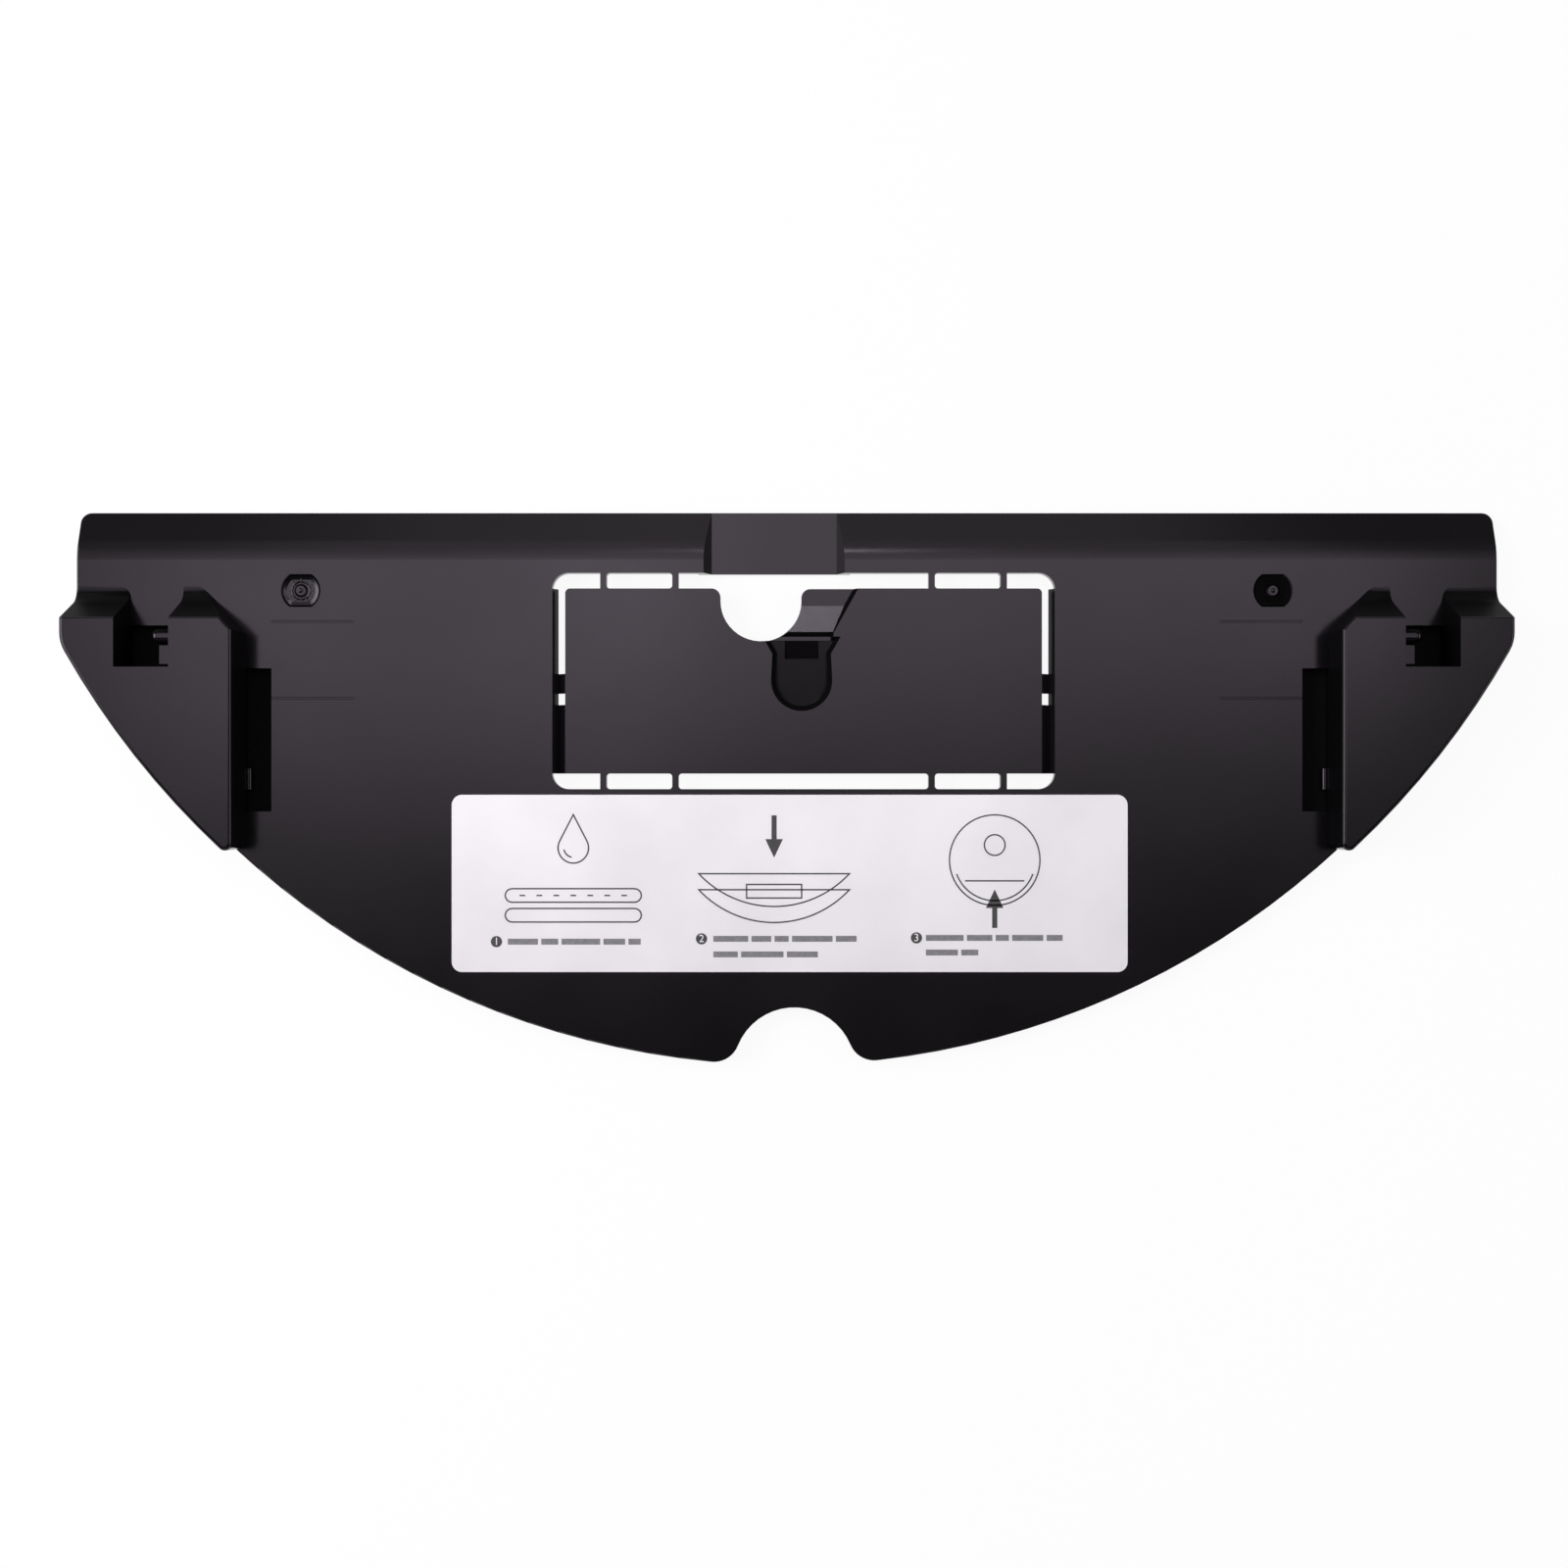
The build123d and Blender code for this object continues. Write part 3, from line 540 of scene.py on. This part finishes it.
# Print on the label, in millimetres: places of drawings and numbers, and starts and lengths of words
DRAWINGS = (
    (drop_and_cloth, (-45.3, -17.6)),
    (plate_and_cloth, (-2.7, -17.6)),
    (disc_and_arrow, (44.1, -17.6)),
)
NUMBER_DOTS = (
    ("1", (-61.6, -32.9)),
    ("2", (-18.1, -32.3)),
    ("3", (27.5, -32.1)),
)
WORD_BARS = (
    (-59.2, -32.9, (6.4, 3.6, 8.2, 4.6, 2.6)),
    (-15.6, -32.3, (7.4, 4.2, 3.0, 8.6, 4.4)),
    (-15.6, -35.6, (5.2, 9.0, 6.6)),
    (29.5, -32.1, (8.0, 5.4, 2.8, 6.6, 3.4)),
    (29.5, -35.2, (6.8, 3.6)),
)
WORD_GAP = 0.7
# Height of a numeral as a share of its dot's radius
NUMERAL_SHARE = 1.9


def numeral_mesh(numeral, centre, height):
    """Plain numeral as a mesh, centred on a number dot."""
    curve = bpy.data.curves.new("numeral", "FONT")
    curve.body = numeral
    curve.size = height
    curve.align_x = "CENTER"
    curve.align_y = "CENTER"
    text = add_object("numeral", curve)
    bpy.context.view_layer.update()
    mesh = bpy.data.meshes.new_from_object(text)
    mesh.transform(Matrix.Translation((*centre, 0.0)))
    bpy.data.objects.remove(text)
    bpy.data.curves.remove(curve)
    return mesh


def printed(bm, name, material, low, height):
    """Thicken flat print, lay it on the label and make it a piece."""
    thicken(bm, height)
    bmesh.ops.translate(bm, verts=bm.verts, vec=UP * low)
    piece_from(bm, name, material)


class BRACKET_OT_label(bpy.types.Operator):
    """Give the label its film and a generic print of drawings, numbers and bars"""

    bl_idname = "bracket.label"
    bl_label = "Film label"

    def execute(self, context):
        settings = context.scene.bracket_label
        film = film_material(settings)
        dress(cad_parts["instruction_label"], film)
        ink = ink_material("dark_ink", settings.ink_colour)
        grey = ink_material("grey_ink", settings.bar_colour)
        height = settings.print_height

        bm = bmesh.new()
        for draw, (x, y) in DRAWINGS:
            draw(bm, (x * MM, y * MM), settings.line_width)
        printed(bm, "label_drawings", ink, LABEL_TOP, height)

        bm = bmesh.new()
        for _, (x, y) in NUMBER_DOTS:
            disc(bm, (x * MM, y * MM), settings.dot_radius)
        printed(bm, "label_dots", ink, LABEL_TOP, height)

        bm = bmesh.new()
        for numeral, (x, y) in NUMBER_DOTS:
            absorb(bm, numeral_mesh(numeral, (x * MM, y * MM), NUMERAL_SHARE * settings.dot_radius))
        printed(bm, "label_numbers", film, LABEL_TOP + height, height)

        bm = bmesh.new()
        for x, y, words in WORD_BARS:
            for word in words:
                bar(bm, ((x + word / 2) * MM, y * MM), word * MM, settings.bar_height)
                x += word + WORD_GAP
        printed(bm, "label_bars", grey, LABEL_TOP, height)
        return {"FINISHED"}


# Path of a hook: shares of its reach and of its drop, and its lean in degrees
HOOK_PATH = ((0.0, 0.55, 0), (0.10, 0.85, 30), (0.45, 1.0, 85), (0.85, 0.86, 140), (1.0, 0.62, 165))


def hook_template(settings, drop):
    """One hook of tape: a thread that leaves the backing and bends over."""
    bm = bmesh.new()
    radius = settings.thread / 2
    bmesh.ops.create_circle(bm, cap_ends=True, radius=radius, segments=5)
    loop = bm.edges[:]
    before = Vector((0.0, 0.0, 0.0))
    turned = 0.0
    for reached, dropped, lean in HOOK_PATH:
        verts = only_verts(bmesh.ops.extrude_edge_only(bm, edges=loop)["geom"])
        place = Vector((reached * settings.reach, 0.0, -dropped * (drop - radius)))
        bmesh.ops.translate(bm, verts=verts, vec=place - before)
        bend = Matrix.Rotation(-math.radians(lean - turned), 3, "Y")
        bmesh.ops.rotate(bm, verts=verts, cent=place, matrix=bend)
        loop = [edge for edge in bm.edges if all(vert in verts for vert in edge.verts)]
        before, turned = place, lean
    bmesh.ops.contextual_create(bm, geom=loop)
    for face in bm.faces:
        face.material_index = 1
    return mesh_from(bm, "hook")


def hook_tape(node, settings):
    """Backing cut from the pad's own solid, with rows of hooks under it."""
    low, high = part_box(node)
    under = high.z - settings.backing
    root = under + settings.thread / 2
    pad = merged_copy(node)
    pad_tree = BVHTree.FromBMesh(pad)
    cut = cut_away(pad, (0, 0, under), -UP)["geom_cut"]
    rim = [item for item in cut if isinstance(item, bmesh.types.BMEdge)]
    bmesh.ops.contextual_create(pad, geom=rim)

    hook = hook_template(settings, root - low.z)
    pitch, margin = settings.pitch, settings.pitch / 2
    corners = [(dx, dy) for dx in (-margin, margin) for dy in (-margin, margin)]
    rows = int((high.y - low.y) / pitch)
    columns = int((high.x - low.x) / pitch)
    for row in range(rows):
        for column in range(columns):
            x, y = low.x + (column + 0.5) * pitch, low.y + (row + 0.5) * pitch
            starts = [Vector((x + dx, y + dy, low.z - margin)) for dx, dy in corners]
            if any(pad_tree.ray_cast(start, UP)[0] is None for start in starts):
                continue
            turn = Matrix.Rotation(math.pi * ((row + column) % 2), 4, "Z")
            placed = hook.copy()
            placed.transform(Matrix.Translation((x, y, root)) @ turn)
            absorb(pad, placed)
    bpy.data.meshes.remove(hook)
    return pad


class BRACKET_OT_hook_tape(bpy.types.Operator):
    """Make the hook tape that takes the place of each plain pad"""

    bl_idname = "bracket.hook_tape"
    bl_label = "Hook tape"

    def execute(self, context):
        settings = context.scene.bracket_tape
        backing = tape_material(settings)
        hooks = hook_material(settings)
        for side in ("left", "right"):
            node = "hook_pad_" + side
            dress(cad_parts[node], backing)
            tape = piece_from(hook_tape(node, settings), "hook_tape_" + side, backing)
            tape.data.materials.append(hooks)
            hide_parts(node)
        return {"FINISHED"}


# Dial of a mould mark: how many short marks it has, and its nub's height as a share of the radius
DIAL_MARKS = 12
NUB_SQUASH = 0.3


def stamp_disc(settings):
    """Disc with two flats, dished by a slope all round its edge."""
    bm = bmesh.new()
    bmesh.ops.create_circle(bm, cap_ends=True, radius=settings.disc_radius, segments=48)
    for side in (-1, 1):
        cut_away(bm, (0, side * settings.flat_reach, 0), (0, side, 0))
    thicken(bm, settings.height)
    bmesh.ops.recalc_face_normals(bm, faces=bm.faces)
    top = max(bm.faces, key=lambda face: face.calc_center_median().z)
    bmesh.ops.inset_region(
        bm, faces=[top], thickness=settings.slope_width, depth=-settings.slope_depth, use_even_offset=True
    )
    return bm


def stamp_lines(settings):
    """Raised lines of the dial: a round ring and short marks outside it."""
    bm = bmesh.new()
    inner, outer, width = settings.ring_radius, settings.dial_radius, settings.line_width
    place = Matrix.Translation((inner, 0.0, 0.0)) @ Matrix.Rotation(math.pi / 2, 4, "X")
    section = bmesh.ops.create_circle(bm, radius=width, segments=10, matrix=place)["verts"]
    geom = [*section, *bm.edges]
    bmesh.ops.spin(bm, geom=geom, cent=(0, 0, 0), axis=UP, angle=math.tau, steps=48, use_merge=True)
    marks = bmesh.new()
    reach = (inner + outer) / 2
    for step in range(DIAL_MARKS):
        angle = math.tau * step / DIAL_MARKS
        bar(marks, (reach * math.cos(angle), reach * math.sin(angle)), outer - inner, width, angle)
    thicken(marks, width)
    absorb(bm, mesh_from(marks, "stamp_marks"))
    return bm


def stamp_nub(settings):
    """Low dome on the nub in the middle of a dial."""
    bm = bmesh.new()
    squash = Matrix.Diagonal((1.0, 1.0, NUB_SQUASH, 1.0))
    bmesh.ops.create_uvsphere(bm, u_segments=20, v_segments=10, radius=settings.nub_radius, matrix=squash)
    return bm


class BRACKET_OT_stamps(bpy.types.Operator):
    """Make the mould maker's dials in the plate's two round marks"""

    bl_idname = "bracket.stamps"
    bl_label = "Mould stamps"

    def execute(self, context):
        settings = context.scene.bracket_stamps
        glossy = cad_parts["bracket_body"].data.materials[0]
        matte = matte_material("matte_black_stamp", settings.matte_colour)
        floor = settings.height - settings.slope_depth
        for name, side, material in (("left", -1, glossy), ("right", 1, matte)):
            place = Matrix.Translation((side * MARK_PLACE.x, MARK_PLACE.y, MARK_PLACE.z))
            for part, make, lift, finish in (
                ("disc", stamp_disc, 0.0, material),
                ("lines", stamp_lines, floor, material),
                ("nub", stamp_nub, MARK_SINK, glossy),
            ):
                bm = make(settings)
                bm.transform(place @ Matrix.Translation(UP * lift))
                piece_from(bm, f"stamp_{part}_{name}", finish)
        return {"FINISHED"}


# Limits of a normal's parts: a wing's front faces forwards and up, its inner walls face inwards
FRONT_LEAST_Y, FRONT_LEAST_Z = 0.15, 0.05
INNER_LEAST_X, INNER_MOST_Z = 0.6, 0.1


def pocket_wall(face, settings):
    """Whether a face is a slanted wall of the panel's pocket or ramp."""
    centre = face.calc_center_median()
    inside = all(low < value < high for low, value, high in zip(POCKET_LOW, centre, POCKET_HIGH))
    return inside and settings.least_upright < face.normal.z < settings.most_upright


def wing_wall(face, settings):
    """Whether a face is a front or an inner wall of a wing."""
    centre = face.calc_center_median()
    on_wing = WING_INNER_X < abs(centre.x) < WING_OUTER_X and WING_REAR_Y < centre.y < WING_FRONT_Y
    below_round = PLATE_TOP < centre.z < WING_ROUND_Z
    if not (on_wing and below_round and face.normal.z < settings.wing_upright):
        return False
    inwards = -face.normal.x * math.copysign(1.0, centre.x)
    front = face.normal.y > FRONT_LEAST_Y and face.normal.z > FRONT_LEAST_Z
    return front or (inwards > INNER_LEAST_X and abs(face.normal.z) < INNER_MOST_Z)


def shade_skin(node, wanted, settings, lowest):
    """Thin dull skin of painted shade on a node's wanted walls that are open to the sky, above a lowest
    height.
    """
    bm = merged_copy(node)
    tree = BVHTree.FromBMesh(bm)
    others = []
    for face in bm.faces:
        start = face.calc_center_median() + face.normal * settings.thickness
        if not wanted(face, settings) or tree.ray_cast(start, UP)[0] is not None:
            others.append(face)
    bmesh.ops.delete(bm, geom=others, context="FACES")
    cut_away(bm, (0, 0, lowest), -UP)
    bmesh.ops.dissolve_degenerate(bm, dist=MERGE_DISTANCE, edges=bm.edges)
    bm.normal_update()
    lifts = {vert.co.copy().freeze(): vert.normal * settings.thickness for vert in bm.verts}
    raised = bmesh.ops.extrude_face_region(bm, geom=bm.faces[:])["geom"]
    for vert in only_verts(raised):
        vert.co += lifts[vert.co.copy().freeze()]
    return bm


class BRACKET_OT_shaded_walls(bpy.types.Operator):
    """Paint shade on the walls of the panel's pocket and of the wings with a dull dark skin"""

    bl_idname = "bracket.dull_walls"
    bl_label = "Dull walls"

    def execute(self, context):
        settings = context.scene.bracket_walls
        # Painted shade: a darker matte skin on the pocket's walls, and a matte skin on the wings' walls.
        pocket = shade_skin("bracket_body", pocket_wall, settings, PLATE_TOP - settings.depth)
        shade_finish = matte_material("dull_pocket_wall", settings.colour)
        piece_from(pocket, "pocket_walls", shade_finish)
        wings = shade_skin("bracket_body", wing_wall, settings, PLATE_TOP + settings.foot)
        shade_finish = matte_material("dull_wing_wall", settings.wing_colour, WING_ROUGHNESS)
        piece_from(wings, "wing_walls", shade_finish)
        return {"FINISHED"}


class BRACKET_OT_insert_lines(bpy.types.Operator):
    """Fill the insert's two fine lines beside each slot almost to the plate's top"""

    bl_idname = "bracket.insert_lines"
    bl_label = "Insert lines"

    def execute(self, context):
        settings = context.scene.bracket_insert
        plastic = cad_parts["bracket_body"].data.materials[0]
        middle = (INSERT_INNER_X + INSERT_OUTER_X) / 2
        length = INSERT_OUTER_X - INSERT_INNER_X
        low = PLATE_TOP - settings.sink - settings.thickness
        for name, side in (("left", -1), ("right", 1)):
            bm = bmesh.new()
            for y in INSERT_LINES_Y:
                bar(bm, (side * middle, y), length, settings.width)
            thicken(bm, settings.thickness)
            bmesh.ops.translate(bm, verts=bm.verts, vec=UP * low)
            piece_from(bm, "insert_lines_" + name, plastic)
        return {"FINISHED"}


# Floor: half its side in metres, its finish and the size of its faint clouds
FLOOR_HALF = 3.0
FLOOR_ROUGHNESS, FLOOR_GLOSS, FLOOR_DARKER = 0.9, 0.1, 0.98
FLOOR_CLOUD = 90 * MM


def floor_material(colour, white_share):
    """Pale floor that stays white to the camera and keeps the bracket's shadow."""
    material, tree, shader = new_material("pale_floor")
    paint(tree, shader, noise_value(tree, FLOOR_CLOUD), scaled(colour, FLOOR_DARKER), colour)
    shader.inputs["Roughness"].default_value = FLOOR_ROUGHNESS
    shader.inputs["Specular IOR Level"].default_value = FLOOR_GLOSS
    glow = tree.nodes.new("ShaderNodeEmission")
    rays = tree.nodes.new("ShaderNodeLightPath")
    seen = math_node(tree, "ADD", rays.outputs["Is Camera Ray"], rays.outputs["Is Glossy Ray"])
    seen = math_node(tree, "ADD", seen, rays.outputs["Is Transmission Ray"])
    share = math_node(tree, "MINIMUM", math_node(tree, "MULTIPLY", seen, white_share), white_share)
    mix = tree.nodes.new("ShaderNodeMixShader")
    tree.links.new(share, mix.inputs["Fac"])
    tree.links.new(shader.outputs["BSDF"], mix.inputs[1])
    tree.links.new(glow.outputs["Emission"], mix.inputs[2])
    output = next(node for node in tree.nodes if node.type == "OUTPUT_MATERIAL")
    tree.links.new(mix.outputs["Shader"], output.inputs["Surface"])
    return material


# Brightness of the ceiling by the angle from straight up, in degrees: towards +Y, then towards +X
CEILING_BY_Y = (
    (-90, 0.1), (-65, 0.16), (-38, 0.16), (-24, 0.02), (-12, 0.01), (-8, 0.02), (-5, 0.05), (-2, 0.13),
    (0, 0.29), (2, 0.64), (3.5, 0.88), (5, 1.0), (9, 0.94), (14, 0.64), (20, 0.44), (30, 0.36),
    (52, 0.31), (62, 0.08), (90, 0.06),
)
CEILING_BY_X = (
    (-90, 0.19), (-22, 0.19), (-18.2, 0.27), (-17, 0.58), (-16, 0.67), (-13, 0.61), (-10.5, 0.49),
    (-7.3, 0.53), (-6, 0.84), (-5, 1.0), (-4, 0.9), (-3.2, 0.62), (-2.2, 0.45), (1.2, 0.44),
    (2.4, 0.62), (4, 0.53), (10, 0.47), (14, 0.56), (16.2, 0.67), (17.2, 0.46), (18, 0.15),
    (22, 0.11), (90, 0.11),
)
# Pale walls: how high they reach above the horizon and how far their top fades, in degrees
WALL_TOP = 20.0
WALL_FADE = 6.0
ROOM_TINT = (1.0, 0.985, 1.0, 1.0)


def profile_node(tree, angle, stops):
    """Level read from stops of an angle in degrees and a share of the full brightness."""
    half_turn = FULL_TURN / 2
    share = math_node(tree, "MULTIPLY_ADD", angle, 1.0 / half_turn, 0.5)
    ramp = tree.nodes.new("ShaderNodeValToRGB")
    elements = ramp.color_ramp.elements
    while len(elements) < len(stops):
        elements.new(0.5)
    for element, (degrees, level) in zip(elements, stops):
        element.position = degrees / half_turn + 0.5
        element.color = (level, level, level, 1.0)
    tree.links.new(share, ramp.inputs["Fac"])
    return ramp.outputs["Color"]


def room_world(settings):
    """Room with a soft light in part of its ceiling and pale walls all round."""
    world = bpy.data.worlds.new("room")
    world.use_nodes = True
    tree = world.node_tree
    place = tree.nodes.new("ShaderNodeTexCoord")
    parts = tree.nodes.new("ShaderNodeSeparateXYZ")
    tree.links.new(place.outputs["Generated"], parts.inputs["Vector"])
    up = parts.outputs["Z"]
    along_x = math_node(tree, "DEGREES", math_node(tree, "ARCTAN2", parts.outputs["X"], up))
    along_y = math_node(tree, "DEGREES", math_node(tree, "ARCTAN2", parts.outputs["Y"], up))
    turned = math_node(tree, "MULTIPLY_ADD", along_x, -settings.ceiling_turn, along_y)
    by_y = profile_node(tree, turned, CEILING_BY_Y)
    by_x = profile_node(tree, along_x, CEILING_BY_X)
    light = math_node(tree, "MULTIPLY", math_node(tree, "MULTIPLY", by_y, by_x), settings.ceiling)
    height = math_node(tree, "DEGREES", math_node(tree, "ARCSINE", up))
    wall = tree.nodes.new("ShaderNodeMapRange")
    wall.interpolation_type = "SMOOTHSTEP"
    wall.inputs["From Min"].default_value = WALL_TOP - WALL_FADE
    wall.inputs["From Max"].default_value = WALL_TOP
    wall.inputs["To Min"].default_value = 1.0
    wall.inputs["To Max"].default_value = 0.0
    tree.links.new(height, wall.inputs["Value"])
    mix = tree.nodes.new("ShaderNodeMix")
    tree.links.new(wall.outputs["Result"], mix.inputs["Factor"])
    tree.links.new(light, mix.inputs["A"])
    mix.inputs["B"].default_value = settings.horizon
    room = tree.nodes["Background"]
    tree.links.new(mix.outputs["Result"], room.inputs["Strength"])
    room.inputs["Color"].default_value = ROOM_TINT
    return world


# Lamps: place and size in metres, and the setting that holds the power
LAMPS = (
    ("left_lamp", (-0.58, 0.12, 0.42), (0.5, 0.3), "left_power"),
    ("right_lamp", (0.95, 0.05, 0.55), (0.7, 0.4), "right_power"),
    ("small_lamp", (0.014, 0.588, 1.07), (0.045, 0.12), "spot_power"),
)
# Camera: the point that it looks down on, its sensor in millimetres and its nearest sight in metres
PHOTO_CENTRE = Vector((-0.6 * MM, 0.55 * MM, PLATE_TOP))
SENSOR_WIDTH = 36.0
CLIP_START = 0.01


def add_lamp(name, place, size, power):
    """Soft rectangular lamp that shines on the middle of the bracket."""
    lamp = bpy.data.lights.new(name, "AREA")
    lamp.shape = "RECTANGLE"
    lamp.size, lamp.size_y = size
    lamp.energy = power
    obj = add_object(name, lamp)
    obj.location = place
    obj.rotation_euler = (-Vector(place)).to_track_quat("-Z", "Y").to_euler()


class BRACKET_OT_stage(bpy.types.Operator):
    """Make the floor, the soft light and the camera"""

    bl_idname = "bracket.stage"
    bl_label = "Stage"

    def execute(self, context):
        settings = context.scene.bracket_stage
        bm = bmesh.new()
        bmesh.ops.create_grid(bm, x_segments=4, y_segments=4, size=FLOOR_HALF)
        floor = add_object("floor", mesh_from(bm, "floor"))
        dress(floor, floor_material(settings.floor_colour, settings.white_share))

        context.scene.world = room_world(settings)
        for name, place, size, power in LAMPS:
            add_lamp(name, place, size, getattr(settings, power))

        camera = bpy.data.cameras.new("camera")
        camera.sensor_width = SENSOR_WIDTH
        camera.lens = SENSOR_WIDTH * settings.camera_height / settings.frame_width
        camera.clip_start = CLIP_START
        view = add_object("camera", camera)
        view.location = PHOTO_CENTRE + UP * settings.camera_height
        context.scene.camera = view
        context.scene.view_settings.view_transform = "Standard"
        return {"FINISHED"}


LOOKS = (
    ("bracket_plastic", PlasticSettings, BRACKET_OT_plastic),
    ("bracket_label", LabelSettings, BRACKET_OT_label),
    ("bracket_tape", TapeSettings, BRACKET_OT_hook_tape),
    ("bracket_stamps", StampSettings, BRACKET_OT_stamps),
    ("bracket_walls", ShadeWallSettings, BRACKET_OT_shaded_walls),
    ("bracket_insert", InsertSettings, BRACKET_OT_insert_lines),
    ("bracket_stage", StageSettings, BRACKET_OT_stage),
)


class BRACKET_PT_looks(bpy.types.Panel):
    """Operators and settings of the bracket's looks"""

    bl_idname = "BRACKET_PT_looks"
    bl_label = "Mop bracket"
    bl_space_type = "VIEW_3D"
    bl_region_type = "UI"
    bl_category = "Bracket"

    def draw(self, context):
        for group, settings, operator in LOOKS:
            box = self.layout.box()
            box.operator(operator.bl_idname)
            for name in settings.__annotations__:
                box.prop(getattr(context.scene, group), name)


def register():
    """Register the classes and hang the settings on the scene."""
    for group, settings, operator in LOOKS:
        bpy.utils.register_class(settings)
        bpy.utils.register_class(operator)
        setattr(bpy.types.Scene, group, PointerProperty(type=settings))
    bpy.utils.register_class(BRACKET_PT_looks)


def unregister():
    """Take the settings off the scene and unregister the classes."""
    bpy.utils.unregister_class(BRACKET_PT_looks)
    for group, settings, operator in reversed(LOOKS):
        delattr(bpy.types.Scene, group)
        bpy.utils.unregister_class(operator)
        bpy.utils.unregister_class(settings)


def main():
    """Make every look in order."""
    register()
    bpy.ops.bracket.plastic()
    bpy.ops.bracket.label()
    bpy.ops.bracket.hook_tape()
    bpy.ops.bracket.stamps()
    bpy.ops.bracket.dull_walls()
    bpy.ops.bracket.insert_lines()
    bpy.ops.bracket.stage()


if __name__ == "__main__":
    main()
